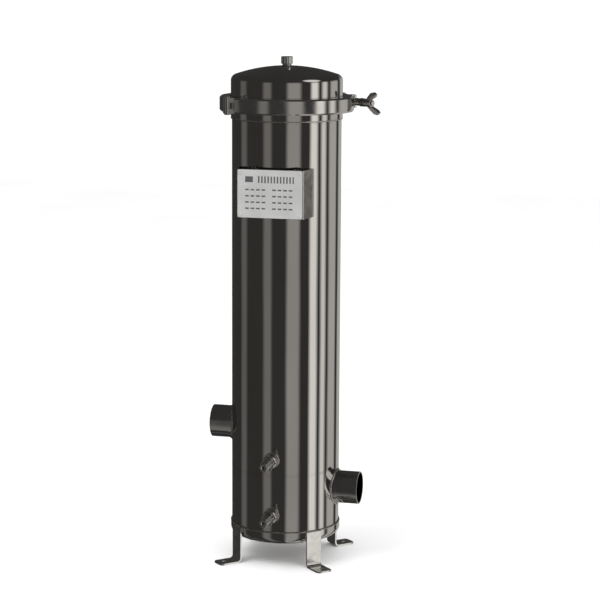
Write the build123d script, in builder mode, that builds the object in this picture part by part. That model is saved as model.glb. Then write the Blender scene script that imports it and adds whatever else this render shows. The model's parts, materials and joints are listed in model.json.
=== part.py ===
"""Stainless steel cartridge filter housing: a vertical vessel with a clamped lid.

Frame: millimetres, origin on the floor below the vessel's axis, +Z up along the axis,
front (nameplate and drains) towards -Y, outlet pipe towards +X, inlet pipe towards -X.
"""
from build123d import *
import os
from math import asin, cos, pi, radians, sin, sqrt

os.makedirs("parts", exist_ok=True)

# ---- driving dimensions -------------------------------------------------------------------
barrel_r = 100.0  # outside of the rolled barrel
sheet = 2.0  # wall of the barrel, heads and pipes
head_r = barrel_r + sheet  # pressed heads and the neck fit over the barrel
bottom_seam_z = 66.5  # upper rim of the bottom head
neck_seam_z = 822.0  # lower rim of the neck
split_z = 848.4  # joint between neck and lid
lid_rim_z = 860.0  # lower rim of the lid head
bottom_tangent_z = 57.0
lid_tangent_z = 889.7
knuckle_r = 12.0
crown_r = 290.0

pipe_r = 30.15  # 60.3 mm pipe
collar_r, collar_end = 31.6, 104.0  # thicker root of each pipe, where it passes through the barrel
outlet_z, outlet_end = 136.5, 143.0
inlet_z, inlet_end = 248.4, 139.5

tube_sheet_z, tube_sheet_t = 174.7, 6.0
cartridge_count, cartridge_ring_r = 5, 60.0
cartridge_r, cartridge_bore_r, cartridge_len = 31.5, 14.0, 508.0

leg_width, leg_t, leg_reach, foot_hole_ring_r, foot_hole_r = 30.0, 3.0, 146.0, 131.0, 4.5
leg_top_z = bottom_seam_z
leg_bend_r = 6.0  # inside of the bend

clamp_half_h, clamp_r, clamp_lip_r = 14.05, 122.5, 103.4
flange_r, flange_tip_h, flange_root_h = 116.0, 3.2, 7.4
clamp_gap = 0.35  # between the clamp's groove and the flanges
closure_angle = 47.0  # direction of the swing bolt, counter-clockwise from +X
hinge_r, hinge_pin_r, knuckle_barrel_r = 126.0, 4.0, 8.0
running = 0.08  # radial clearance of pins and threads that turn
bolt_ring_r, bolt_pin_offset, bolt_r = 131.5, -14.0, 3.92
ear_face_r = 36.0  # convex bearing face about the swing bolt's pin
nut_start, nut_end, bolt_end = 48.0, 82.0, 85.0  # along the bolt, from the clamp's split plane
seat_gap = 0.3

plate_z0, plate_z1, plate_half_w, plate_y = 651.0, 738.0, 59.5, -118.0
bracket_t, plate_t = 1.5, 1.0


def finish(builder, name):
    """Name a finished piece and write it to its own file."""
    builder.part.label = name
    export_step(builder.part, f"parts/{name}.step")


def radial_plane(angle):
    """Upright plane through the axis: local X runs outwards at the given angle, local Y is up."""
    a = radians(angle)
    return Plane(origin=(0, 0, 0), x_dir=(cos(a), sin(a), 0), z_dir=(sin(a), -cos(a), 0))


def turned(points):
    """Ring turned about the vessel's axis from (radius, height) corners."""
    with BuildPart() as ring:
        with BuildSketch(Plane.XZ):
            with BuildLine():
                Polyline(*points, close=True)
            make_face()
        revolve(axis=Axis.Z)
    return ring


# ---- vessel -------------------------------------------------------------------------------
barrel_foot_z, barrel_top_z = bottom_tangent_z, 836.0
drain_heights = {"upper": 203.5, "lower": 100.0}
socket_r, socket_end = 12.5, 118.0
drain_bore_r = 3.0

with BuildPart() as barrel:
    with BuildSketch(Plane.XY.offset(barrel_foot_z)):
        Circle(barrel_r)
        Circle(barrel_r - sheet, mode=Mode.SUBTRACT)
    extrude(amount=barrel_top_z - barrel_foot_z)
    with BuildSketch(Plane.YZ):
        with Locations((0, outlet_z)):
            Circle(collar_r)
    extrude(amount=barrel_r + sheet, mode=Mode.SUBTRACT)
    with BuildSketch(Plane.YZ):
        with Locations((0, inlet_z)):
            Circle(collar_r)
    extrude(amount=-barrel_r - sheet, mode=Mode.SUBTRACT)
    with BuildSketch(Plane.XZ):
        with Locations(*[(0, z) for z in drain_heights.values()]):
            Circle(drain_bore_r)
    extrude(amount=barrel_r + sheet, mode=Mode.SUBTRACT)
finish(barrel, "barrel")


def dished_head(tangent_z, rim_z, up):
    """Pressed head of constant sheet thickness: skirt, knuckle and shallow crown."""
    knuckle_x = head_r - knuckle_r
    sweep = asin(knuckle_x / (crown_r - knuckle_r))
    crown_z = tangent_z - up * sqrt((crown_r - knuckle_r) ** 2 - knuckle_x**2)

    def on_arc(x, z, radius, angle):
        return (x + radius * sin(angle), z + up * radius * cos(angle))

    def skin(inset):
        knuckle, crown = knuckle_r - inset, crown_r - inset
        return [
            (head_r - inset, tangent_z),
            on_arc(knuckle_x, tangent_z, knuckle, (pi / 2 + sweep) / 2),
            on_arc(knuckle_x, tangent_z, knuckle, sweep),
            on_arc(0, crown_z, crown, sweep / 2),
            on_arc(0, crown_z, crown, 0),
        ]

    outer, inner = skin(0), skin(sheet)
    with BuildPart() as head:
        with BuildSketch(Plane.XZ):
            with BuildLine():
                Line((head_r, rim_z), outer[0])
                ThreePointArc(*outer[0:3])
                ThreePointArc(*outer[2:5])
                Line(outer[4], inner[4])
                ThreePointArc(*inner[4:1:-1])
                ThreePointArc(*inner[2::-1])
                Line(inner[0], (head_r - sheet, rim_z))
                Line((head_r - sheet, rim_z), (head_r, rim_z))
            make_face()
        revolve(axis=Axis.Z)
    return head


finish(dished_head(bottom_tangent_z, bottom_seam_z, -1), "bottom_head")

vent_z, vent_spigot_z, vent_stub_z = 918.8, 910.0, 930.0
vent_r, vent_stub_r, vent_bore_r = 7.75, 6.65, 3.0

lid_head = dished_head(lid_tangent_z, lid_rim_z, 1)
with BuildPart() as lid_head_drilled:
    add(lid_head.part)
    with BuildSketch(Plane.XY.offset(vent_spigot_z - sheet)):
        Circle(vent_r)
    extrude(amount=vent_z - vent_spigot_z, mode=Mode.SUBTRACT)
finish(lid_head_drilled, "lid_head")

# ---- neck, lid flange and gasket ----------------------------------------------------------
gasket_half = 1.0
flange_root_r = 103.0
finish(
    turned(
        [
            (barrel_r, neck_seam_z),
            (head_r, neck_seam_z),
            (head_r, split_z - flange_root_h - 1.0),
            (flange_root_r, split_z - flange_root_h),
            (flange_r, split_z - flange_tip_h),
            (flange_r, split_z - gasket_half),
            (barrel_r - sheet, split_z - gasket_half),
            (barrel_r - sheet, barrel_top_z),
            (barrel_r, barrel_top_z),
        ]
    ),
    "body_ferrule",
)
finish(
    turned(
        [
            (barrel_r, lid_rim_z),
            (head_r, lid_rim_z),
            (head_r, split_z + flange_root_h + 1.0),
            (flange_root_r, split_z + flange_root_h),
            (flange_r, split_z + flange_tip_h),
            (flange_r, split_z + gasket_half),
            (barrel_r, split_z + gasket_half),
        ]
    ),
    "lid_ferrule",
)
gasket_r = 114.0
finish(
    turned(
        [
            (barrel_r, split_z - gasket_half),
            (gasket_r, split_z - gasket_half),
            (gasket_r, split_z + gasket_half),
            (barrel_r, split_z + gasket_half),
        ]
    ),
    "lid_gasket",
)

# ---- clamp --------------------------------------------------------------------------------
bevel = 3.0
groove_r = flange_r + 1.2
ring_section = [
    (clamp_lip_r, split_z - clamp_half_h),
    (clamp_r - bevel, split_z - clamp_half_h),
    (clamp_r, split_z - clamp_half_h + bevel),
    (clamp_r, split_z + clamp_half_h - bevel),
    (clamp_r - bevel, split_z + clamp_half_h),
    (clamp_lip_r, split_z + clamp_half_h),
    (clamp_lip_r, split_z + flange_root_h + clamp_gap + 0.25),
    (groove_r, split_z + flange_tip_h + clamp_gap),
    (groove_r, split_z - flange_tip_h - clamp_gap),
    (clamp_lip_r, split_z - flange_root_h - clamp_gap - 0.25),
]
end_gap_angle = 3.0  # from the hinge line and from the split plane to the end of a half ring
hinge_angle = closure_angle + 180.0
ear_half_h, ear_outer, ear_near, ear_round = 12.0, 139.5, 5.0, 8.5
fork_half_h, fork_floor = 5.0, 123.0
mid_knuckle_half_h = 5.0
knuckle_gap = 0.4
side_plane = Plane(
    origin=(0, 0, split_z),
    x_dir=(cos(radians(closure_angle)), sin(radians(closure_angle)), 0),
    z_dir=(0, 0, 1),
)
hinge_x = -hinge_r  # in side_plane, whose X runs to the closure and whose -Y runs along the bolt


def half_ring(side):
    """Half of the clamp's ring; side -1 is the front half and +1 the rear half."""
    span = 180.0 - 2 * end_gap_angle
    start = closure_angle + end_gap_angle if side > 0 else closure_angle - end_gap_angle
    with BuildPart() as ring:
        with BuildSketch(radial_plane(start)):
            with BuildLine():
                Polyline(*ring_section, close=True)
            make_face()
        revolve(axis=Axis.Z, revolution_arc=side * span)
    return ring


def hinge_lobes(side, low, high):
    """One hinge knuckle with its web to the half ring, between two heights from the split."""
    web = 16.0
    root = groove_r + 0.3
    with BuildPart() as lobe:
        with BuildSketch(side_plane.offset(low)):
            with Locations((hinge_x, 0)):
                Circle(knuckle_barrel_r)
            with BuildLine():
                Polyline(
                    (hinge_x - knuckle_barrel_r, 0),
                    (-root - 3.0, side * web),
                    (-root, side * (web - 2.0)),
                    (-root, 0),
                    close=True,
                )
            make_face()
        extrude(amount=high - low)
    return lobe


def pin_hole(x, y, radius, low, high):
    """Upright cylinder used to bore or clear the clamp, in side_plane coordinates."""
    with BuildPart() as hole:
        with BuildSketch(side_plane.offset(low)):
            with Locations((x, y)):
                Circle(radius)
        extrude(amount=high - low)
    return hole


def box_cut(x0, x1, y0, y1, z0, z1):
    """Rectangular cut in side_plane coordinates."""
    with BuildPart() as cut:
        with BuildSketch(side_plane.offset(z0)):
            with Locations(((x0 + x1) / 2, (y0 + y1) / 2)):
                Rectangle(x1 - x0, y1 - y0)
        extrude(amount=z1 - z0)
    return cut


ear_root = groove_r + 0.3
bolt_pin_y = -bolt_pin_offset
full = clamp_half_h + 1.0
lobe_clear_r = knuckle_barrel_r + 0.6
mid_lobe = hinge_lobes(1, -mid_knuckle_half_h, mid_knuckle_half_h)
low_lobe = hinge_lobes(-1, -clamp_half_h, -mid_knuckle_half_h - knuckle_gap)
top_lobe = hinge_lobes(-1, mid_knuckle_half_h + knuckle_gap, clamp_half_h)
clear_mid = pin_hole(
    hinge_x, 0, lobe_clear_r, -mid_knuckle_half_h - knuckle_gap, mid_knuckle_half_h + knuckle_gap
)
clear_low = pin_hole(hinge_x, 0, lobe_clear_r, -full, -mid_knuckle_half_h)
clear_top = pin_hole(hinge_x, 0, lobe_clear_r, mid_knuckle_half_h, full)
hinge_bore = pin_hole(hinge_x, 0, hinge_pin_r + running, -full, full)
slot_half = bolt_r + 0.9
slot_floor = bolt_ring_r - bolt_r - 1.0

with BuildPart() as front_ear:
    with BuildSketch(side_plane.offset(-ear_half_h)):
        with Locations((bolt_ring_r, bolt_pin_y)):
            Circle(ear_face_r)
        with BuildLine():
            Polyline(
                (ear_root, -ear_near),
                (ear_outer, -ear_near),
                (ear_outer, -ear_face_r),
                (ear_root, -ear_face_r),
                close=True,
            )
        make_face(mode=Mode.INTERSECT)
    extrude(amount=2 * ear_half_h)

with BuildPart() as clamp_front_half:
    add(half_ring(-1).part)
    add(front_ear.part)
    add(low_lobe.part)
    add(top_lobe.part)
    add(clear_mid.part, mode=Mode.SUBTRACT)
    add(hinge_bore.part, mode=Mode.SUBTRACT)
    add(
        box_cut(slot_floor, ear_outer + 1, -40, -ear_near + 1, -slot_half, slot_half).part,
        mode=Mode.SUBTRACT,
    )
finish(clamp_front_half, "clamp_front_half")

with BuildPart() as rear_ear:
    with BuildSketch(side_plane.offset(-ear_half_h)):
        with Locations((bolt_ring_r, bolt_pin_y)):
            Circle(ear_round)
        with Locations(((ear_root + bolt_ring_r) / 2, bolt_pin_y)):
            Rectangle(bolt_ring_r - ear_root, 2 * ear_round)
    extrude(amount=2 * ear_half_h)

with BuildPart() as clamp_rear_half:
    add(half_ring(1).part)
    add(rear_ear.part)
    add(mid_lobe.part)
    add(clear_low.part, mode=Mode.SUBTRACT)
    add(clear_top.part, mode=Mode.SUBTRACT)
    add(hinge_bore.part, mode=Mode.SUBTRACT)
    add(box_cut(fork_floor, ear_outer + 4, -2.0, 40.0, -fork_half_h, fork_half_h).part, mode=Mode.SUBTRACT)
    add(pin_hole(bolt_ring_r, bolt_pin_y, hinge_pin_r, -full, full).part, mode=Mode.SUBTRACT)
finish(clamp_rear_half, "clamp_rear_half")


def headed_pin(x, y, half_length, rim_r, head_h):
    """Upright pin with a shallow head at each end, in side_plane coordinates."""
    with BuildPart() as pin:
        with BuildSketch(side_plane.offset(-half_length)):
            with Locations((x, y)):
                Circle(hinge_pin_r)
        extrude(amount=2 * half_length)
        for z in (-half_length - head_h, half_length):
            with BuildSketch(side_plane.offset(z)):
                with Locations((x, y)):
                    Circle(rim_r)
            extrude(amount=head_h)
        heads = pin.edges().filter_by(GeomType.CIRCLE).sort_by(Axis.Z)
        chamfer([heads[0], heads[-1]], 0.8)
    return pin


finish(headed_pin(hinge_x, 0, clamp_half_h + seat_gap, 6.0, 2.4), "clamp_hinge_pin")
finish(headed_pin(bolt_ring_r, bolt_pin_y, ear_half_h, 6.0, 2.0), "swing_bolt_pin")

# The bolt's own plane: local origin on the split plane, local Z outwards along the bolt.
t = radians(closure_angle)
bolt_dir = Vector(sin(t), -cos(t), 0)
bolt_origin = Vector(bolt_ring_r * cos(t), bolt_ring_r * sin(t), split_z)
bolt_plane = Plane(origin=bolt_origin, x_dir=(cos(t), sin(t), 0), z_dir=bolt_dir)

eye_r, eye_half_h = 7.5, 4.5
with BuildPart() as eye:
    with BuildSketch(side_plane.offset(-eye_half_h)):
        with Locations((bolt_ring_r, bolt_pin_y)):
            Circle(eye_r)
    extrude(amount=2 * eye_half_h)
with BuildPart() as swing_bolt:
    add(eye.part)
    with BuildSketch(bolt_plane.offset(bolt_pin_offset)):
        Circle(bolt_r)
    extrude(amount=bolt_end - bolt_pin_offset)
    tip = swing_bolt.faces().sort_by(Axis(bolt_origin, bolt_dir))[-1]
    chamfer(tip.edges(), 0.8)
    add(
        pin_hole(bolt_ring_r, bolt_pin_y, hinge_pin_r + running, -10, 10).part, mode=Mode.SUBTRACT
    )
finish(swing_bolt, "swing_bolt")

sleeve_start = ear_face_r + bolt_pin_offset + seat_gap
sleeve_r = 7.0
with BuildPart() as clamp_sleeve:
    with BuildSketch(bolt_plane.offset(sleeve_start)):
        Circle(sleeve_r)
        Circle(bolt_r + 0.35, mode=Mode.SUBTRACT)
    extrude(amount=nut_start - seat_gap - sleeve_start)
finish(clamp_sleeve, "clamp_sleeve")

# ---- wing nut -----------------------------------------------------------------------------
hub_r, hub_tip_r = 8.0, 6.4
wing_tilt = -13.0  # about the bolt, from upright
wing_half_t = 2.8
wing_outline = [
    (0.0, 20.0),
    (7.5, 21.0),
    (12.5, 27.0),
    (20.0, 38.0),
    (21.0, 48.0),
    (17.5, 54.0),
    (12.5, 50.0),
    (8.0, 38.0),
    (6.0, 33.5),
    (0.0, 33.5),
]  # (distance from the bolt's axis, distance along it from the hub's seat)
tilt = radians(wing_tilt)
wing_dir = bolt_plane.x_dir * sin(tilt) + Vector(0, 0, 1) * cos(tilt)
wing_plane = Plane(
    origin=bolt_plane.offset(nut_start).origin, x_dir=wing_dir, z_dir=wing_dir.cross(bolt_dir)
)
with BuildPart() as wing_nut:
    with BuildSketch(bolt_plane.offset(nut_start)):
        Circle(hub_r)
    with BuildSketch(bolt_plane.offset(nut_end)):
        Circle(hub_tip_r)
    loft()
    for side in (-1, 1):
        with BuildSketch(wing_plane.offset(-wing_half_t)):
            with BuildLine():
                Polyline(*[(side * reach, along) for reach, along in wing_outline], close=True)
            make_face()
        extrude(amount=2 * wing_half_t)
    with BuildSketch(bolt_plane.offset(nut_start - 1)):
        Circle(bolt_r + running)
    extrude(amount=nut_end - nut_start + 2, mode=Mode.SUBTRACT)
finish(wing_nut, "wing_nut")

# ---- vent ---------------------------------------------------------------------------------
with BuildPart() as vent_socket:
    with BuildSketch(Plane.XY.offset(vent_spigot_z)):
        Circle(vent_r)
    extrude(amount=vent_z - vent_spigot_z)
    with BuildSketch(Plane.XY.offset(vent_z)):
        Circle(vent_stub_r)
    extrude(amount=vent_stub_z - vent_z)
    with BuildSketch(Plane.XY.offset(vent_spigot_z - 1)):
        Circle(vent_bore_r)
    extrude(amount=vent_stub_z - vent_spigot_z + 2, mode=Mode.SUBTRACT)
finish(vent_socket, "vent_socket")

seal_t, seal_r = 1.4, 9.0
with BuildPart() as vent_seal:
    with BuildSketch(Plane.XY.offset(vent_z + 0.05)):
        Circle(seal_r)
        Circle(vent_stub_r + 0.35, mode=Mode.SUBTRACT)
    extrude(amount=seal_t - 0.1)
finish(vent_seal, "vent_seal")

cap_r, cap_top_z = 10.65, 933.0
with BuildPart() as vent_cap:
    with BuildSketch(Plane.XY.offset(vent_z + seal_t)):
        Circle(cap_r)
    extrude(amount=cap_top_z - vent_z - seal_t)
    chamfer(vent_cap.faces().sort_by(Axis.Z)[-1].edges(), 0.8)
    with BuildSketch(Plane.XY.offset(vent_z + seal_t)):
        Circle(vent_stub_r + 0.35)
    extrude(amount=vent_stub_z + 0.4 - vent_z - seal_t, mode=Mode.SUBTRACT)
finish(vent_cap, "vent_cap")

# ---- pipes and drains ---------------------------------------------------------------------
with BuildPart() as inside_of_barrel:
    with BuildSketch():
        Circle(barrel_r - sheet)
    extrude(amount=500)


pipe_root_x = 80.0


def pipe(height, end, side):
    """Pipe set through the barrel's wall, flush inside; side +1 points to +X."""
    with BuildPart() as tube:
        with BuildSketch(Plane.YZ.offset(side * pipe_root_x)):
            with Locations((0, height)):
                Circle(pipe_r)
        extrude(amount=side * (end - pipe_root_x))
        with BuildSketch(Plane.YZ.offset(side * pipe_root_x)):
            with Locations((0, height)):
                Circle(collar_r)
        extrude(amount=side * (collar_end - pipe_root_x))
        with BuildSketch(Plane.YZ.offset(side * pipe_root_x)):
            with Locations((0, height)):
                Circle(pipe_r - sheet)
        extrude(amount=side * (end - pipe_root_x), mode=Mode.SUBTRACT)
        add(inside_of_barrel.part, mode=Mode.SUBTRACT)
    return tube


finish(pipe(outlet_z, outlet_end, 1), "outlet_pipe")
finish(pipe(inlet_z, inlet_end, -1), "inlet_pipe")

nipple_hex_af, nipple_hex_t, nipple_r, nipple_end = 23.0, 12.0, 8.33, 160.0
with BuildPart() as barrel_solid:
    with BuildSketch():
        Circle(barrel_r)
    extrude(amount=500)

for level, height in drain_heights.items():
    with BuildPart() as socket:
        with BuildSketch(Plane.XZ.offset(90)):
            with Locations((0, height)):
                Circle(socket_r)
        extrude(amount=socket_end - 90)
        mouth = socket.faces().sort_by(Axis.Y)[0]
        chamfer(mouth.edges(), 1.0)
        with BuildSketch(Plane.XZ.offset(90)):
            with Locations((0, height)):
                Circle(nipple_r)
        extrude(amount=socket_end - 90, mode=Mode.SUBTRACT)
        add(barrel_solid.part, mode=Mode.SUBTRACT)
    finish(socket, f"{level}_drain_socket")

    with BuildPart() as nipple:
        with BuildSketch(Plane.XZ.offset(socket_end)):
            with Locations((0, height)):
                RegularPolygon(nipple_hex_af / 2, 6, major_radius=False)
        extrude(amount=nipple_hex_t)
        with BuildSketch(Plane.XZ.offset(socket_end - 12)):
            with Locations((0, height)):
                Circle(nipple_r)
        extrude(amount=nipple_end - socket_end + 12)
        mouth = nipple.faces().sort_by(Axis.Y)[0]
        chamfer(mouth.edges(), 1.0)
        with BuildSketch(Plane.XZ.offset(socket_end - 13)):
            with Locations((0, height)):
                Circle(drain_bore_r)
        extrude(amount=nipple_end - socket_end + 14, mode=Mode.SUBTRACT)
    finish(nipple, f"{level}_drain_nipple")

# ---- legs ---------------------------------------------------------------------------------
leg_angles = {"front_right": -45, "rear_right": 45, "rear_left": 135, "front_left": 225}
corner_r = 7.0
for place, angle in leg_angles.items():
    with BuildPart() as leg:
        with BuildSketch(radial_plane(angle)):
            with BuildLine():
                outside = head_r + leg_t
                FilletPolyline(
                    (head_r, leg_top_z), (head_r, 0), (leg_reach, 0), radius=leg_bend_r + leg_t
                )
                Line((leg_reach, 0), (leg_reach, leg_t))
                FilletPolyline(
                    (leg_reach, leg_t), (outside, leg_t), (outside, leg_top_z), radius=leg_bend_r
                )
                Line((outside, leg_top_z), (head_r, leg_top_z))
            make_face()
        extrude(amount=leg_width / 2, both=True)
        outwards = Axis((0, 0, 0), (cos(radians(angle)), sin(radians(angle)), 0))
        toe = leg.edges().filter_by(Axis.Z).sort_by(outwards)[-2:]
        fillet(toe, corner_r)
        hole_at = Vector(outwards.direction) * foot_hole_ring_r
        with BuildSketch(Plane(origin=hole_at)):
            Circle(foot_hole_r)
        extrude(amount=leg_t, mode=Mode.SUBTRACT)
    finish(leg, f"leg_{place}")

# ---- nameplate on its bracket -------------------------------------------------------------
bracket_half_w, bracket_root_x, bracket_root_y = 61.5, 70.0, -70.0
plate_mid_z = (plate_z0 + plate_z1) / 2
rivet_x, rivet_z, rivet_r = 55.0, 38.5, 2.0
rivet_spots = [(x, plate_mid_z + z) for x in (-rivet_x, rivet_x) for z in (-rivet_z, rivet_z)]
with BuildPart() as nameplate_bracket:
    with BuildSketch(Plane.XY.offset(plate_z0)):
        with BuildLine():
            FilletPolyline(
                (-bracket_root_x, bracket_root_y),
                (-bracket_half_w, plate_y),
                (bracket_half_w, plate_y),
                (bracket_root_x, bracket_root_y),
                radius=3.0,
            )
            offset(amount=bracket_t, side=Side.LEFT)
        make_face()
    extrude(amount=plate_z1 - plate_z0)
    with BuildSketch(Plane.XY.offset(plate_z0)):
        Circle(barrel_r)
    extrude(amount=plate_z1 - plate_z0, mode=Mode.SUBTRACT)
    with BuildSketch(Plane.XZ.offset(-plate_y - 3)):
        with Locations(*rivet_spots):
            Circle(rivet_r)
    extrude(amount=6, mode=Mode.SUBTRACT)
finish(nameplate_bracket, "nameplate_bracket")

with BuildPart() as nameplate:
    with BuildSketch(Plane.XZ.offset(-plate_y)):
        with Locations((0, plate_mid_z)):
            RectangleRounded(2 * plate_half_w, plate_z1 - plate_z0 - 1.0, 3.0)
        with Locations(*rivet_spots):
            Circle(rivet_r, mode=Mode.SUBTRACT)
    extrude(amount=plate_t)
finish(nameplate, "nameplate")

rivet_head_r, rivet_head_h, rivet_tail = 3.4, 1.3, 3.0
with BuildPart() as nameplate_rivets:
    with BuildSketch(Plane.XZ.offset(-plate_y + plate_t)):
        with Locations(*rivet_spots):
            Circle(rivet_head_r)
    extrude(amount=rivet_head_h)
    rims = nameplate_rivets.edges().filter_by(GeomType.CIRCLE).group_by(Axis.Y)[0]
    fillet(rims, 1.0)
    with BuildSketch(Plane.XZ.offset(-plate_y + plate_t)):
        with Locations(*rivet_spots):
            Circle(rivet_r)
    extrude(amount=-rivet_tail - plate_t)
finish(nameplate_rivets, "nameplate_rivets")

# ---- inside the vessel --------------------------------------------------------------------
sheet_top = tube_sheet_z + tube_sheet_t / 2
seat_bore_r, seat_rim_r, seat_h, spigot_r, spigot_h = 10.0, 20.0, 6.0, 13.0, 16.0
rod_r = 5.0
with BuildPart() as tube_sheet:
    with BuildSketch(Plane.XY.offset(tube_sheet_z - tube_sheet_t / 2)):
        Circle(barrel_r - sheet)
        with PolarLocations(cartridge_ring_r, cartridge_count):
            Circle(spigot_r, mode=Mode.SUBTRACT)
        Circle(rod_r, mode=Mode.SUBTRACT)
    extrude(amount=tube_sheet_t)
finish(tube_sheet, "tube_sheet")

seat_z = sheet_top + seat_h
with BuildPart() as cartridge_seats:
    with BuildSketch(Plane.XY.offset(sheet_top)):
        with PolarLocations(cartridge_ring_r, cartridge_count):
            Circle(seat_rim_r)
    extrude(amount=seat_h)
    with BuildSketch(Plane.XY.offset(sheet_top - tube_sheet_t)):
        with PolarLocations(cartridge_ring_r, cartridge_count):
            Circle(spigot_r)
    extrude(amount=tube_sheet_t + seat_h + spigot_h)
    with BuildSketch(Plane.XY.offset(sheet_top - tube_sheet_t)):
        with PolarLocations(cartridge_ring_r, cartridge_count):
            Circle(seat_bore_r)
    extrude(amount=tube_sheet_t + seat_h + spigot_h, mode=Mode.SUBTRACT)
finish(cartridge_seats, "cartridge_seats")

gasket_t = 3.0
media_z = seat_z + gasket_t
media_top_z = media_z + cartridge_len
core_t = 1.5


def five_rings(z, height, outer, inner, name):
    """A ring at every cartridge's axis, kept together as one group of separate solids."""
    with BuildPart() as rings:
        with BuildSketch(Plane.XY.offset(z)):
            with PolarLocations(cartridge_ring_r, cartridge_count):
                Circle(outer)
                Circle(inner, mode=Mode.SUBTRACT)
        extrude(amount=height)
    finish(rings, name)


gasket_outer = 24.0
five_rings(seat_z, gasket_t, gasket_outer, cartridge_bore_r, "lower_cartridge_gaskets")
five_rings(media_top_z, gasket_t, gasket_outer, cartridge_bore_r, "upper_cartridge_gaskets")
five_rings(media_z, cartridge_len, cartridge_bore_r + core_t, cartridge_bore_r, "cartridge_cores")
for number in range(cartridge_count):
    turn = radians(360 * number / cartridge_count)
    with BuildPart() as media:
        with BuildSketch(Plane.XY.offset(media_z)):
            with Locations((cartridge_ring_r * cos(turn), cartridge_ring_r * sin(turn))):
                Circle(cartridge_r)
                Circle(cartridge_bore_r + core_t, mode=Mode.SUBTRACT)
        extrude(amount=cartridge_len)
    finish(media, f"cartridge_{number + 1}")

cup_z = media_top_z + gasket_t
cup_r, cup_h, stem_r, stem_h, guide_r = 22.0, 4.0, 4.0, 66.0, 12.0
with BuildPart() as spring_cups:
    with BuildSketch(Plane.XY.offset(cup_z)):
        with PolarLocations(cartridge_ring_r, cartridge_count):
            Circle(cup_r)
    extrude(amount=cup_h)
    with BuildSketch(Plane.XY.offset(cup_z)):
        with PolarLocations(cartridge_ring_r, cartridge_count):
            Circle(guide_r)
    extrude(amount=-12)
    with BuildSketch(Plane.XY.offset(cup_z + cup_h)):
        with PolarLocations(cartridge_ring_r, cartridge_count):
            Circle(stem_r)
    extrude(amount=stem_h)
finish(spring_cups, "spring_cups")

spring_z = cup_z + cup_h
spring_h, spring_r, wire_r, spring_turns = 44.0, 9.0, 1.0, 6
plate_low_z = spring_z + spring_h
with BuildPart() as spring:
    with BuildLine(Plane.XY.offset(spring_z + wire_r)):
        Helix(
            pitch=(spring_h - 2 * wire_r) / spring_turns,
            height=spring_h - 2 * wire_r,
            radius=spring_r,
        )
    with BuildSketch(Plane(origin=(spring_r, 0, spring_z + wire_r), z_dir=(0, 1, 0))):
        Circle(wire_r)
    sweep(is_frenet=True)
with BuildPart() as cartridge_springs:
    with PolarLocations(cartridge_ring_r, cartridge_count):
        add(spring.part)
finish(cartridge_springs, "cartridge_springs")

hold_plate_r, hold_plate_t, flow_hole_r, flow_ring_r = 88.0, 4.0, 7.0, 34.0
with BuildPart() as hold_down_plate:
    with BuildSketch(Plane.XY.offset(plate_low_z)):
        Circle(hold_plate_r)
        with PolarLocations(cartridge_ring_r, cartridge_count):
            Circle(stem_r + 0.5, mode=Mode.SUBTRACT)
        with PolarLocations(flow_ring_r, cartridge_count, start_angle=180 / cartridge_count):
            Circle(flow_hole_r, mode=Mode.SUBTRACT)
        Circle(rod_r + 0.5, mode=Mode.SUBTRACT)
    extrude(amount=hold_plate_t)
finish(hold_down_plate, "hold_down_plate")

washer_t, washer_r, rod_nut_af, rod_nut_h, rod_spare = 2.0, 12.0, 17.0, 9.0, 12.0
rod_top_z = plate_low_z + hold_plate_t + washer_t + rod_nut_h + rod_spare
with BuildPart() as tie_rod:
    with BuildSketch(Plane.XY.offset(tube_sheet_z - tube_sheet_t / 2)):
        Circle(rod_r)
    extrude(amount=rod_top_z - tube_sheet_z + tube_sheet_t / 2)
finish(tie_rod, "tie_rod")

with BuildPart() as tie_rod_washer:
    with BuildSketch(Plane.XY.offset(plate_low_z + hold_plate_t)):
        Circle(washer_r)
        Circle(rod_r + 0.5, mode=Mode.SUBTRACT)
    extrude(amount=washer_t)
finish(tie_rod_washer, "tie_rod_washer")

with BuildPart() as tie_rod_nut:
    with BuildSketch(Plane.XY.offset(plate_low_z + hold_plate_t + washer_t)):
        RegularPolygon(rod_nut_af / 2, 6, major_radius=False)
        Circle(rod_r, mode=Mode.SUBTRACT)
    extrude(amount=rod_nut_h)
finish(tie_rod_nut, "tie_rod_nut")
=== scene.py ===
import json
import math

import bpy
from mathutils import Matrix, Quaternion, Vector


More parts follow.
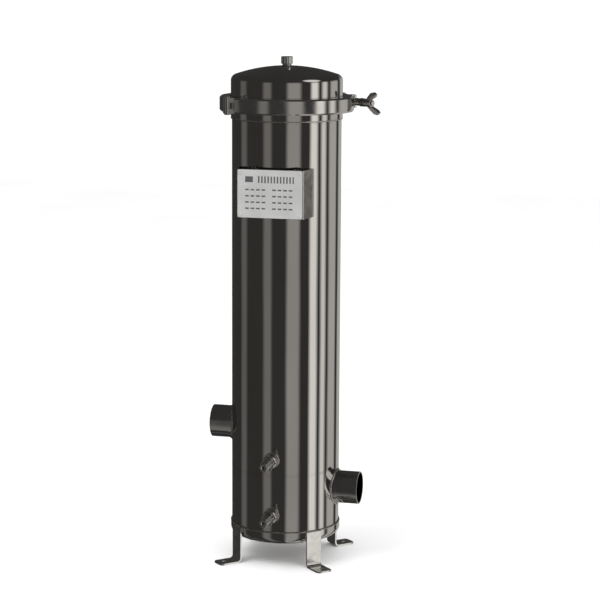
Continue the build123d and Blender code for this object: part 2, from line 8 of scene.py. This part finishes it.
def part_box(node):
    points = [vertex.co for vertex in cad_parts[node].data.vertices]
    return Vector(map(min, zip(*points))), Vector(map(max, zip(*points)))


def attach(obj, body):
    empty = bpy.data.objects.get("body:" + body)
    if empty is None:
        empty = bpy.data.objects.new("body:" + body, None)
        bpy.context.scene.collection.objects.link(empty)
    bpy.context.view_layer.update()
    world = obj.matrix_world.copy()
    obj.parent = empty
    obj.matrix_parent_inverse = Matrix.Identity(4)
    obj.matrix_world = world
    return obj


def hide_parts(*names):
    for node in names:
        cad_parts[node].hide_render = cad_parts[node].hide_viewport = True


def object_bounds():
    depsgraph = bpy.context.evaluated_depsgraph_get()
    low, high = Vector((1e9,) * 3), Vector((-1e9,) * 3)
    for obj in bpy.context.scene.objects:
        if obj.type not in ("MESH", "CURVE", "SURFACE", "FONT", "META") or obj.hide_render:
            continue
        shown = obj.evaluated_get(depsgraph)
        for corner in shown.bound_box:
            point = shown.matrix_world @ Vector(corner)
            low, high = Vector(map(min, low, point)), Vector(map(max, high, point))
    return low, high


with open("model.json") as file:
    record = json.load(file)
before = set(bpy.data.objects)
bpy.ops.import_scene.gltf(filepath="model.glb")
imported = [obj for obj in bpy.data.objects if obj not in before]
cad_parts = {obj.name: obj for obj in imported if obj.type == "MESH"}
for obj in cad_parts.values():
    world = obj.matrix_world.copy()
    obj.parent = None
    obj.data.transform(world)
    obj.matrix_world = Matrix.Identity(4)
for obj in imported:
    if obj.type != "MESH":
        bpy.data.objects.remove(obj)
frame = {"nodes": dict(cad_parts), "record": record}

CAD_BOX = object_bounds()
MM = 0.001
CAMERA_AZIMUTH = 14.15  # degrees round the vessel from the front towards +X


# ---- places worked out from the frame -------------------------------------------------------
def radius_of(node):
    low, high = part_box(node)
    return (high.x - low.x) / 2


BARREL_R = radius_of("barrel")
HEAD_R = radius_of("lid_head")
NECK_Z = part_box("body_ferrule")[0].z
BASE_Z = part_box("bottom_head")[1].z
SHEET_Z = sum(corner.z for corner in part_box("tube_sheet")) / 2
PLATE_LOW, PLATE_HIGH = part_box("nameplate")


# ---- materials ------------------------------------------------------------------------------
class Graph:
    """A small helper that adds nodes to one material and links them."""

    def __init__(self, name):
        self.material = bpy.data.materials.new(name)
        self.material.use_nodes = True
        self.tree = self.material.node_tree
        self.shader = self.tree.nodes["Principled BSDF"]
        self.place = self.node("ShaderNodeTexCoord").outputs["Object"]

    def node(self, kind, **settings):
        made = self.tree.nodes.new(kind)
        for key, value in settings.items():
            setattr(made, key, value)
        return made

    def link(self, source, target):
        self.tree.links.new(source, target)

    def scaled(self, x, y, z):
        mapping = self.node("ShaderNodeMapping")
        mapping.inputs["Scale"].default_value = (x, y, z)
        self.link(self.place, mapping.inputs["Vector"])
        return mapping.outputs["Vector"]

    def noise(self, scale, detail=3.0, stretch=(1, 1, 1), distortion=0.0):
        made = self.node("ShaderNodeTexNoise")
        made.inputs["Scale"].default_value = scale
        made.inputs["Detail"].default_value = detail
        made.inputs["Distortion"].default_value = distortion
        self.link(self.scaled(*stretch), made.inputs["Vector"])
        return made.outputs["Fac"]

    def span(self, source, low, high, start=0.3, end=0.7):
        made = self.node("ShaderNodeMapRange")
        for socket, value in (("From Min", start), ("From Max", end), ("To Min", low), ("To Max", high)):
            made.inputs[socket].default_value = value
        self.link(source, made.inputs["Value"])
        return made.outputs["Result"]

    def math(self, operation, first, second=None):
        made = self.node("ShaderNodeMath", operation=operation)
        for socket, value in zip(made.inputs, (first, second)):
            if isinstance(value, (int, float)):
                socket.default_value = value
            elif value is not None:
                self.link(value, socket)
        return made.outputs[0]

    def mix(self, factor, first, second):
        made = self.node("ShaderNodeMix", data_type="RGBA")
        self.link(factor, made.inputs["Factor"])
        for socket, value in ((made.inputs["A"], first), (made.inputs["B"], second)):
            if isinstance(value, tuple):
                socket.default_value = (*value, 1)
            else:
                self.link(value, socket)
        return made.outputs["Result"]

    def height(self):
        split = self.node("ShaderNodeSeparateXYZ")
        self.link(self.place, split.inputs[0])
        return split.outputs["Z"]

    def band(self, level, half_width):
        """1 at a height, falling to 0 half a width above and below it."""
        away = self.math("ABSOLUTE", self.math("SUBTRACT", self.height(), level))
        return self.span(away, 1.0, 0.0, 0.0, half_width)

    def bump(self, source, strength, distance, below=None):
        made = self.node("ShaderNodeBump")
        made.inputs["Strength"].default_value = strength
        made.inputs["Distance"].default_value = distance
        self.link(source, made.inputs["Height"])
        if below is not None:
            self.link(below, made.inputs["Normal"])
        return made.outputs["Normal"]

    def edge_wear(self, low=0.51, high=0.56):
        pointed = self.node("ShaderNodeNewGeometry").outputs["Pointiness"]
        return self.span(pointed, 0.0, 1.0, low, high)

    def use(self, color, roughness, normal=None, metallic=1.0):
        self.link(color, self.shader.inputs["Base Color"])
        self.link(roughness, self.shader.inputs["Roughness"])
        if normal is not None:
            self.link(normal, self.shader.inputs["Normal"])
        self.shader.inputs["Metallic"].default_value = metallic
        return self.material


def polished_steel(name, seams=()):
    """Mirror-polished sheet: faint buffing lines, smears, shallow rolling waves and a rougher brownish band
    at each seam level given.
    """
    g = Graph(name)
    smears = g.noise(9, 5, (1, 1, 0.35), 0.6)
    specks = g.noise(420, 2)
    color = g.mix(g.span(smears, 0, 1), (0.60, 0.575, 0.55), (0.66, 0.65, 0.635))
    roughness = g.math("ADD", g.span(smears, 0.025, 0.06), g.span(specks, 0.0, 0.02, 0.55, 0.75))
    for level in seams:
        # A rougher brownish band, broken up by noise, along each level given in seams.
        seam_band = g.math("MULTIPLY", g.band(level, 5 * MM), g.span(g.noise(60, 3), 0.0, 0.45))
        color = g.mix(seam_band, color, (0.44, 0.37, 0.29))
        roughness = g.math("ADD", roughness, g.math("MULTIPLY", seam_band, 0.16))
    waves = g.bump(g.noise(9, 2, (1, 1, 0.25)), 0.5, 2.0 * MM)
    buffing = g.bump(g.noise(900, 2, (1, 1, 0.02)), 0.035, 0.1 * MM, waves)
    return g.use(color, roughness, buffing)


def cast_steel(name):
    """Polished casting: rounded grain, darker pits and brighter rubbed edges."""
    g = Graph(name)
    cloud = g.noise(45, 4)
    color = g.mix(g.span(cloud, 0, 1), (0.50, 0.485, 0.465), (0.60, 0.585, 0.565))
    color = g.mix(g.edge_wear(), color, (0.68, 0.665, 0.64))
    roughness = g.span(cloud, 0.08, 0.18)
    return g.use(color, roughness, g.bump(g.noise(700, 4), 0.06, 0.08 * MM))


def turned_steel(name):
    """Machined steel: fine tool marks and light stains."""
    g = Graph(name)
    stains = g.noise(70, 4)
    color = g.mix(g.span(stains, 0, 1), (0.50, 0.48, 0.45), (0.63, 0.615, 0.59))
    color = g.mix(g.edge_wear(), color, (0.74, 0.73, 0.71))
    return g.use(color, g.span(stains, 0.12, 0.26), g.bump(g.noise(1500, 2, (1, 1, 0.1)), 0.12, 0.08 * MM))


def brushed_sheet(name):
    """Strip and bracket steel: brushed along its height, with scuffs all over."""
    g = Graph(name)
    grain = g.noise(1300, 3, (1, 1, 0.03))
    scuffs = g.noise(55, 5, (1, 1, 1), 1.0)
    color = g.mix(g.span(scuffs, 0, 1), (0.40, 0.385, 0.365), (0.56, 0.55, 0.53))
    color = g.mix(g.edge_wear(), color, (0.72, 0.71, 0.69))
    roughness = g.math("ADD", g.span(scuffs, 0.12, 0.24), g.span(grain, -0.02, 0.03))
    return g.use(color, roughness, g.bump(grain, 0.03, 0.05 * MM))


def weld_metal(name):
    """Weld bead: bright ripples with a trace of straw and grey heat colour."""
    g = Graph(name)
    cloud = g.noise(160, 3)
    color = g.mix(g.span(cloud, 0, 1), (0.58, 0.55, 0.51), (0.70, 0.69, 0.67))
    color = g.mix(g.span(g.noise(300, 2), 0, 0.45, 0.55, 0.75), color, (0.36, 0.33, 0.33))
    return g.use(color, g.span(cloud, 0.16, 0.34), g.bump(g.noise(1100, 3), 0.2, 0.1 * MM))


def plate_aluminium(name):
    """Satin anodised plate, brushed along its width."""
    g = Graph(name)
    grain = g.noise(1500, 3, (0.02, 1, 1))
    cloud = g.noise(24, 3)
    color = g.mix(g.span(cloud, 0, 1), (0.70, 0.70, 0.69), (0.80, 0.80, 0.79))
    color = g.mix(g.span(grain, 0, 0.35), color, (0.60, 0.60, 0.59))
    return g.use(color, g.span(cloud, 0.42, 0.55), g.bump(grain, 0.06, 0.05 * MM), 0.55)


def printed_ink(name):
    g = Graph(name)
    wear = g.noise(380, 3)
    color = g.mix(g.span(wear, 0, 1, 0.6, 0.8), (0.07, 0.07, 0.075), (0.30, 0.30, 0.30))
    return g.use(color, g.span(wear, 0.45, 0.6), None, 0.0)


def seal_rubber(name):
    g = Graph(name)
    bloom = g.noise(90, 4)
    color = g.mix(g.span(bloom, 0, 1), (0.018, 0.018, 0.018), (0.06, 0.06, 0.062))
    return g.use(color, g.span(bloom, 0.5, 0.75), g.bump(g.noise(900, 3), 0.15, 0.1 * MM), 0.0)


def filter_fibre(name):
    g = Graph(name)
    fibre = g.noise(700, 5, (1, 1, 0.3), 2.0)
    color = g.mix(g.span(fibre, 0, 1), (0.80, 0.80, 0.77), (0.93, 0.93, 0.91))
    return g.use(color, g.span(fibre, 0.75, 0.95), g.bump(fibre, 0.5, 0.4 * MM), 0.0)


def moulded_plastic(name):
    g = Graph(name)
    cloud = g.noise(60, 3)
    color = g.mix(g.span(cloud, 0, 1), (0.78, 0.79, 0.79), (0.86, 0.87, 0.87))
    return g.use(color, g.span(cloud, 0.35, 0.5), g.bump(g.noise(500, 2), 0.05, 0.1 * MM), 0.0)


def floor_paint(name):
    g = Graph(name)
    cloud = g.noise(2, 2)
    color = g.mix(g.span(cloud, 0, 1), (0.97, 0.97, 0.97), (0.99, 0.99, 0.99))
    return g.use(color, g.span(cloud, 0.8, 0.9), None, 0.0)


MATERIALS = {
    "polished_steel": polished_steel("polished_steel"),
    "cast_steel": cast_steel("cast_steel"),
    "turned_steel": turned_steel("turned_steel"),
    "brushed_sheet": brushed_sheet("brushed_sheet"),
    "plate_aluminium": plate_aluminium("plate_aluminium"),
    "seal_rubber": seal_rubber("seal_rubber"),
    "inner_steel": turned_steel("inner_steel"),
    "filter_media": filter_fibre("filter_media"),
    "core_plastic": moulded_plastic("core_plastic"),
}
# Brownish bands at the neck and base welds and along the tube sheet level.
BARREL_STEEL = polished_steel("barrel_steel", (NECK_Z - 2 * MM, BASE_Z + 2 * MM, SHEET_Z))
WELD = weld_metal("weld_metal")
INK = printed_ink("printed_ink")


def dress(obj, material):
    obj.data.materials.clear()
    obj.data.materials.append(material)


def dress_nodes():
    """Every CAD node gets the material of its slot in the record."""
    for part in frame["record"]["subparts"]:
        obj = frame["nodes"][part["node"]]
        material = BARREL_STEEL if part["node"] == "barrel" else MATERIALS[part["material_slot"]]
        for place in range(max(1, len(obj.material_slots))):
            if place < len(obj.material_slots):
                obj.material_slots[place].material = material
            else:
                obj.data.materials.append(material)


# ---- mesh pieces ----------------------------------------------------------------------------
def mesh_piece(name, verts, faces, material, body="root", smooth=True):
    mesh = bpy.data.meshes.new(name)
    mesh.from_pydata([tuple(v) for v in verts], [], faces)
    mesh.validate()
    mesh.update()
    for face in mesh.polygons:
        face.use_smooth = smooth
    obj = bpy.data.objects.new(name, mesh)
    bpy.context.scene.collection.objects.link(obj)
    dress(obj, material)
    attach(obj, body)
    return obj


def bead(name, path, closed, thickness, ripple_length=2.2 * MM):
    """A weld bead: a tube along the path whose radius swells once for each ripple of the weld."""
    sides = 10
    count = len(path)
    verts, faces = [], []
    travelled = 0.0
    for i, point in enumerate(path):
        before = path[i - 1] if closed or i else point
        after = path[(i + 1) % count] if closed or i < count - 1 else point
        along = (after - before).normalized()
        travelled += (point - path[i - 1]).length if i else 0.0
        swell = 0.82 + 0.18 * abs(math.sin(math.pi * travelled / ripple_length))
        taper = 1.0 if closed else min(1.0, 0.25 + min(i, count - 1 - i) / 4)
        outward = Vector((point.x, point.y, 0)).normalized()
        up = along.cross(outward).normalized()
        outward = up.cross(along).normalized()
        for k in range(sides):
            a = 2 * math.pi * k / sides
            verts.append(point + (outward * math.cos(a) + up * math.sin(a)) * thickness * swell * taper)
    for i in range(count if closed else count - 1):
        j = (i + 1) % count
        for k in range(sides):
            m = (k + 1) % sides
            faces.append((i * sides + k, i * sides + m, j * sides + m, j * sides + k))
    if not closed:
        faces.append(tuple(range(sides)))
        faces.append(tuple((count - 1) * sides + k for k in reversed(range(sides))))
    return mesh_piece(name, verts, faces, WELD)


def ring_path(radius, z, count):
    turns = (2 * math.pi * i / count for i in range(count))
    return [Vector((radius * math.cos(a), radius * math.sin(a), z)) for a in turns]


def saddle_path(tube_r, z, heading, count):
    """Where a round tube leaves the barrel: heading is the unit vector along the tube."""
    side = Vector((-heading.y, heading.x, 0))
    points = []
    for i in range(count):
        a = 2 * math.pi * i / count
        across = tube_r * math.cos(a)
        depth = math.sqrt(BARREL_R**2 - across**2)
        points.append(heading * depth + side * across + Vector((0, 0, z + tube_r * math.sin(a))))
    return points


def add_welds():
    bead("neck_weld", ring_path(BARREL_R + 0.9 * MM, NECK_Z - 0.4 * MM, 720), True, 1.5 * MM)
    bead("base_weld", ring_path(BARREL_R + 0.9 * MM, BASE_Z + 0.4 * MM, 720), True, 1.5 * MM)
    for node, heading in (("outlet_pipe", Vector((1, 0, 0))), ("inlet_pipe", Vector((-1, 0, 0)))):
        low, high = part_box(node)
        tube_r = (high.z - low.z) / 2 + 0.6 * MM
        bead(f"{node}_weld", saddle_path(tube_r, (high.z + low.z) / 2, heading, 300), True, 2.3 * MM)
    for level in ("upper", "lower"):
        low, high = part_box(f"{level}_drain_socket")
        tube_r = (high.z - low.z) / 2 + 0.4 * MM
        path = saddle_path(tube_r, (high.z + low.z) / 2, Vector((0, -1, 0)), 130)
        bead(f"{level}_drain_weld", path, True, 1.7 * MM, 1.6 * MM)
    vent_r = radius_of("vent_socket")
    dome_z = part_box("lid_head")[1].z - 0.1 * MM
    bead("vent_weld", ring_path(vent_r + 0.4 * MM, dome_z, 90), True, 1.1 * MM, 1.4 * MM)
    for node in ("leg_front_left", "leg_front_right", "leg_rear_left", "leg_rear_right"):
        add_leg_weld(node)


def add_leg_weld(node):
    """Bead over the top of a leg's strip and a little way down both of its edges."""
    low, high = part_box(node)
    middle = (low + high) / 2
    out = Vector((math.copysign(1, middle.x), math.copysign(1, middle.y), 0)).normalized()
    side = Vector((-out.y, out.x, 0))
    half, drop, top = 15 * MM, 9 * MM, high.z
    corners = [(-half, top - drop), (-half, top), (half, top), (half, top - drop)]
    path = []
    for (s0, z0), (s1, z1) in zip(corners, corners[1:]):
        steps = max(3, int((abs(s1 - s0) + abs(z1 - z0)) / (0.5 * MM)))
        for i in range(steps):
            s = s0 + (s1 - s0) * i / steps
            depth = math.sqrt(HEAD_R**2 - s**2) + 1.0 * MM
            path.append(out * depth + side * s + Vector((0, 0, z0 + (z1 - z0) * i / steps)))
    bead(f"{node}_weld", path, False, 1.7 * MM, 1.9 * MM)


def lathe(profile, origin, along, across, sides=96, thread=None):
    """Grid turned about an axis. profile is (distance along, radius); thread is (from, to, pitch, depth)."""
    up = along.cross(across)
    verts, faces = [], []
    for distance, radius in profile:
        for k in range(sides):
            a = 2 * math.pi * k / sides
            r = radius
            if thread and thread[0] < distance < thread[1]:
                start, end, pitch, depth = thread
                fade = min(1.0, (distance - start) / pitch, (end - distance) / pitch)
                r -= depth * fade * (0.5 - 0.5 * math.cos(2 * math.pi * (distance / pitch - k / sides)))
            verts.append(origin + along * distance + (across * math.cos(a) + up * math.sin(a)) * r)
    rings = len(profile)
    for i in range(rings - 1):
        for k in range(sides):
            m = (k + 1) % sides
            faces.append((i * sides + k, (i + 1) * sides + k, (i + 1) * sides + m, i * sides + m))
    return verts, faces


def threaded_profile(start, end, radius, chamfer, step):
    """Outside of a thread from its root to a chamfered mouth, in steps fine enough for its flanks."""
    count = max(2, int((end - chamfer - start) / step))
    body = [(start + (end - chamfer - start) * i / count, radius) for i in range(count + 1)]
    return body + [(end, radius - chamfer)]


def add_drain_nipples():
    """Hexagon nipples with a real helical thread; each stands for its plain CAD node."""
    pitch, depth, radius, bore = 1.337 * MM, 0.75 * MM, 8.33 * MM, 3.0 * MM
    hexagon_length = 12 * MM
    for level in ("upper", "lower"):
        node = f"{level}_drain_nipple"
        low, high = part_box(node)
        wall_end = -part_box(f"{level}_drain_socket")[0].y
        root, mouth, hex_end = -high.y, -low.y, wall_end + hexagon_length
        z = (low.z + high.z) / 2
        origin, along, across = Vector((0, 0, z)), Vector((0, -1, 0)), Vector((1, 0, 0))
        profile = [(root, bore), (root, radius), (hex_end, radius)]
        profile += threaded_profile(hex_end + 0.1 * MM, mouth, radius, 1.0 * MM, pitch / 12)
        profile += [(mouth, bore), (root, bore)]
        verts, faces = lathe(profile, origin, along, across, 72, (hex_end + 0.2 * MM, mouth, pitch, depth))
        stub = mesh_piece(f"{level}_nipple_thread", verts, faces, MATERIALS["turned_steel"])
        flats = (high.z - low.z) / 2
        hexagon(f"{level}_nipple_hexagon", origin, along, across, wall_end, hex_end, flats, radius)
        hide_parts(node)


def hexagon(name, origin, along, across, start, end, flats, hole_r):
    """Hexagon with its corners turned off at both ends, round a hole."""
    up = along.cross(across)
    sides = 96
    verts, faces = [], []
    rings = ((start, "hole"), (start, "rim"), (start + 0.9 * MM, "flat"))
    rings += ((end - 0.9 * MM, "flat"), (end, "rim"), (end, "hole"))
    for distance, kind in rings:
        for k in range(sides):
            a = 2 * math.pi * k / sides
            from_flat = (a + math.pi / 6) % (math.pi / 3) - math.pi / 6
            outline = flats / math.cos(from_flat)
            r = {"hole": hole_r, "rim": min(outline, flats * 0.97), "flat": outline}[kind]
            verts.append(origin + along * distance + (up * math.cos(a) + across * math.sin(a)) * r)
    for i in range(len(rings) - 1):
        for k in range(sides):
            m = (k + 1) % sides
            faces.append((i * sides + k, i * sides + m, (i + 1) * sides + m, (i + 1) * sides + k))
    return mesh_piece(name, verts, faces, MATERIALS["turned_steel"], smooth=False)


def add_cast_wing_nut():
    """The wing nut with the soft edges of a casting, made from its own CAD solid."""
    node = frame["nodes"]["wing_nut"]
    piece = bpy.data.objects.new("cast_wing_nut", node.data.copy())
    bpy.context.scene.collection.objects.link(piece)
    remesh = piece.modifiers.new("remesh", "REMESH")
    remesh.mode = "VOXEL"
    remesh.voxel_size = 0.45 * MM
    soften = piece.modifiers.new("soften", "SMOOTH")
    soften.factor = 0.5
    soften.iterations = 9
    bpy.context.view_layer.update()
    shaped = bpy.data.meshes.new_from_object(piece.evaluated_get(bpy.context.evaluated_depsgraph_get()))
    piece.modifiers.clear()
    piece.data = shaped
    for face in shaped.polygons:
        face.use_smooth = True
    dress(piece, MATERIALS["cast_steel"])
    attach(piece, "nut")
    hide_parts("wing_nut")


# ---- nameplate print ------------------------------------------------------------------------
def bar(verts, faces, x0, x1, z0, z1):
    """One thin raised bar of print on the plate's face."""
    face_y, proud = PLATE_LOW.y, 0.12 * MM
    start = len(verts)
    for y in (face_y + 0.02 * MM, face_y - proud):
        verts += [Vector((x0, y, z0)), Vector((x1, y, z0)), Vector((x1, y, z1)), Vector((x0, y, z1))]
    for quad in ((4, 5, 6, 7), (0, 1, 5, 4), (1, 2, 6, 5), (2, 3, 7, 6), (3, 0, 4, 7)):
        faces.append(tuple(start + i for i in quad))


def add_plate_print():
    """Blank form: a block and a heading of upright marks, then four rows of dashes in two columns."""
    verts, faces = [], []
    width, high = PLATE_HIGH.x - PLATE_LOW.x, PLATE_HIGH.z - PLATE_LOW.z
    left, bottom = PLATE_LOW.x, PLATE_LOW.z
    bar(verts, faces, left + 0.12 * width, left + 0.24 * width, bottom + 0.74 * high, bottom + 0.86 * high)
    marks, heading_from, heading_to = 12, 0.32, 0.90
    step = (heading_to - heading_from) / marks
    for i in range(marks):
        x = left + width * (heading_from + step * i)
        bar(verts, faces, x, x + 0.45 * step * width, bottom + 0.73 * high, bottom + 0.87 * high)
    for row in range(4):
        z = bottom + high * (0.57 - 0.13 * row)
        for column in (0.12, 0.54):
            for dash in range(4):
                x = left + width * (column + 0.085 * dash)
                bar(verts, faces, x, x + 0.055 * width, z, z + 0.03 * high)
    mesh_piece("nameplate_print", verts, faces, INK, smooth=False)


# ---- studio ---------------------------------------------------------------------------------
# Upright light panels in a dark room: (degrees from the camera, half width in degrees, brightness).
PANELS = [
    (-100, 5, 0.15),
    (-40, 5, 0.20),
    (15, 10, 0.35),
    (60, 5, 0.95),
    (85, 3, 0.80),
    (115, 10, 0.50),
    (155, 10, 0.50),
]
ROOM, PANEL_EDGE = 0.04, 7  # brightness between the panels, and degrees over which a panel fades
OVERHEAD = (60, 35, 0.90)  # degrees from the camera, degrees up, brightness of the raised panel
PANEL_TINT = Vector((1.0, 0.975, 0.94))


def panel_stops():
    """The panels as (degrees, brightness) all the way round, dark between them."""
    stops = [(-180, ROOM)]
    for middle, half, level in PANELS:
        stops += [(middle - half - PANEL_EDGE, ROOM), (middle - half, level)]
        stops += [(middle + half, level), (middle + half + PANEL_EDGE, ROOM)]
    return stops + [(180, ROOM)]


def light_direction(azimuth, elevation):
    """Unit vector towards a light: degrees round from the front towards +X, and degrees up."""
    a, e = math.radians(azimuth), math.radians(elevation)
    return Vector((math.sin(a) * math.cos(e), -math.cos(a) * math.cos(e), math.sin(e)))


def add_world():
    world = bpy.data.worlds.new("studio")
    bpy.context.scene.world = world
    world.use_nodes = True
    tree = world.node_tree
    tree.nodes.clear()

    def node(kind, **settings):
        made = tree.nodes.new(kind)
        for key, value in settings.items():
            setattr(made, key, value)
        return made

    def math_node(operation, first, second):
        made = node("ShaderNodeMath", operation=operation)
        for socket, value in zip(made.inputs, (first, second)):
            if isinstance(value, (int, float)):
                socket.default_value = value
            else:
                tree.links.new(value, socket)
        return made.outputs[0]

    direction = node("ShaderNodeTexCoord").outputs["Generated"]
    split = node("ShaderNodeSeparateXYZ")
    tree.links.new(direction, split.inputs[0])
    x, y, z = split.outputs
    angle = math_node("ARCTAN2", x, math_node("MULTIPLY", y, -1.0))
    turned = math_node("SUBTRACT", angle, math.radians(CAMERA_AZIMUTH))
    around = math_node("FRACT", math_node("ADD", math_node("DIVIDE", turned, 2 * math.pi), 1.5), 0.0)
    ramp = node("ShaderNodeValToRGB")
    tree.links.new(around, ramp.inputs["Fac"])
    stops = ramp.color_ramp.elements
    levels = panel_stops()
    while len(stops) < len(levels):
        stops.new(0.5)
    for stop, (degrees, level) in zip(stops, levels):
        stop.position = degrees / 360 + 0.5
        stop.color = (*PANEL_TINT * level, 1)
    above = node("ShaderNodeMapRange")
    tree.links.new(z, above.inputs["Value"])
    for socket, value in (("From Min", 0.05), ("From Max", 0.30), ("To Min", 0.0), ("To Max", 1.0)):
        above.inputs[socket].default_value = value
    ceiling = node("ShaderNodeMix", data_type="RGBA")
    tree.links.new(above.outputs["Result"], ceiling.inputs["Factor"])
    tree.links.new(ramp.outputs["Color"], ceiling.inputs["A"])
    ceiling.inputs["B"].default_value = (*PANEL_TINT * ROOM, 1)

    azimuth, elevation, level = OVERHEAD
    towards = node("ShaderNodeVectorMath", operation="DOT_PRODUCT")
    tree.links.new(direction, towards.inputs[0])
    towards.inputs[1].default_value = light_direction(CAMERA_AZIMUTH + azimuth, elevation)
    patch = node("ShaderNodeMapRange")
    tree.links.new(towards.outputs["Value"], patch.inputs["Value"])
    for socket, value in (("From Min", 0.94), ("From Max", 0.97), ("To Min", 0.0), ("To Max", 1.0)):
        patch.inputs[socket].default_value = value
    room = node("ShaderNodeMix", data_type="RGBA")
    tree.links.new(patch.outputs["Result"], room.inputs["Factor"])
    tree.links.new(ceiling.outputs["Result"], room.inputs["A"])
    room.inputs["B"].default_value = (*PANEL_TINT * level, 1)

    path = node("ShaderNodeLightPath")
    reflected = node("ShaderNodeBackground")
    tree.links.new(room.outputs["Result"], reflected.inputs["Color"])
    plain = node("ShaderNodeBackground")
    plain.inputs["Color"].default_value = (1, 1, 1, 1)
    plain.inputs["Strength"].default_value = 1.06
    choose = node("ShaderNodeMixShader")
    tree.links.new(path.outputs["Is Glossy Ray"], choose.inputs["Fac"])
    tree.links.new(plain.outputs[0], choose.inputs[1])
    tree.links.new(reflected.outputs[0], choose.inputs[2])
    tree.links.new(choose.outputs[0], node("ShaderNodeOutputWorld").inputs["Surface"])


def add_floor():
    """A large pale floor; it isn't seen in the polish, where the dark room shows instead."""
    size, below = 6.0, 0.1 * MM
    corners = [(-size, -size), (size, -size), (size, size), (-size, size)]
    mesh = bpy.data.meshes.new("floor")
    mesh.from_pydata([(x, y, -below) for x, y in corners], [], [(0, 1, 2, 3)])
    floor = bpy.data.objects.new("floor", mesh)
    bpy.context.scene.collection.objects.link(floor)
    dress(floor, floor_paint("floor_paint"))
    floor.visible_glossy = False


def add_softbox(name, azimuth, elevation, distance, size, power):
    target = (CAD_BOX[0] + CAD_BOX[1]) / 2
    out = light_direction(azimuth, elevation)
    data = bpy.data.lights.new(name, "AREA")
    data.shape, data.size, data.energy = "DISK", size, power
    light = bpy.data.objects.new(name, data)
    light.location = target + out * distance
    light.rotation_euler = (-out).to_track_quat("-Z", "Y").to_euler()
    light.visible_glossy = False
    bpy.context.scene.collection.objects.link(light)


def add_camera():
    """The view: slightly above, to the right of the front, level with the lid and tipped down."""
    distance, height, aside = 3.705, 1.113, 0.0258  # metres from the axis, the floor and the centre line
    pitch, roll = 0.168, 0.005  # radians
    focal_per_width = 3.383  # focal length over the width of the sensor
    a = math.radians(CAMERA_AZIMUTH)
    right = Vector((math.cos(a), math.sin(a), 0))
    ahead = Vector((-math.sin(a), math.cos(a), 0))
    data = bpy.data.cameras.new("camera")
    data.sensor_width = 36.0
    data.lens = focal_per_width * data.sensor_width
    data.clip_end = 50
    camera = bpy.data.objects.new("camera", data)
    camera.location = right * aside - ahead * distance + Vector((0, 0, height))
    look = ahead * math.cos(pitch) - Vector((0, 0, 1)) * math.sin(pitch)
    camera.rotation_mode = "QUATERNION"
    camera.rotation_quaternion = Quaternion(look, -roll) @ look.to_track_quat("-Z", "Y")
    bpy.context.scene.collection.objects.link(camera)
    bpy.context.scene.camera = camera


dress_nodes()
add_welds()
add_drain_nipples()
add_cast_wing_nut()
add_plate_print()
add_world()
add_floor()
add_softbox("key_softbox", -40, 50, 3.0, 1.6, 30)
add_softbox("fill_softbox", 50, 35, 3.0, 1.6, 18)
add_camera()
bpy.context.scene.view_settings.view_transform = "Standard"
